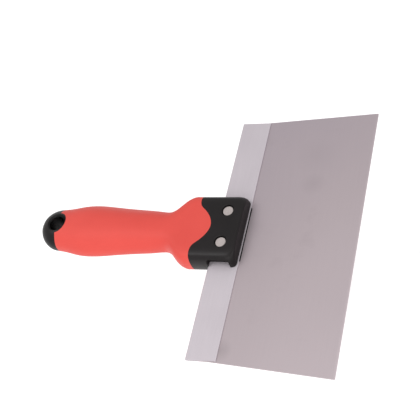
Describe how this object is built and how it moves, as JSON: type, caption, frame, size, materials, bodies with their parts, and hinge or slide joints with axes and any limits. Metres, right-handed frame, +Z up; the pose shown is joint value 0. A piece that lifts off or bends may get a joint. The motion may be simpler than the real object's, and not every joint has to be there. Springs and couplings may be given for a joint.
{
  "type": "flexible putty knife",
  "caption": "Wide flexible putty knife with a thin steel blade in a folded backing strip and a soft-grip handle that ends in a hang hole.",
  "frame": {"origin": "under the middle of the whole knife, on the surface that it lies on, front face up", "axes": "+X from the tail of the handle to the working edge, +Y across the blade, +Z up from the resting surface, normal to the blade"},
  "size_m": [0.2363, 0.2032, 0.0274],
  "materials": {
    "blade_steel": "fine brushed, satin",
    "strip_metal": "satin",
    "black_rubber": "matt thin sheet",
    "black_plastic": "fine moulded, semi-matt",
    "red_rubber": "matt soft-touch",
    "rivet_metal": "dull turned"
  },
  "bodies": {
    "handle": {"handle_core": "black_plastic", "soft_grip": "red_rubber", "backing_strip": "strip_metal", "clamp_pad": "black_rubber", "rivet_stud_left": "rivet_metal", "rivet_stud_right": "rivet_metal", "rivet_sleeve_left": "rivet_metal", "rivet_sleeve_right": "rivet_metal"},
    "blade": {"blade": "blade_steel"}
  },
  "joints": [
    {"name": "blade_flex", "type": "hinge", "parent": "handle", "child": "blade", "pos_m": [0.0588, 0, 0.01202], "axis": [0, -1, 0], "range_deg": [-20, 20], "stiffness_Nm_per_rad": 9, "deforming": ["blade"]}
  ]
}
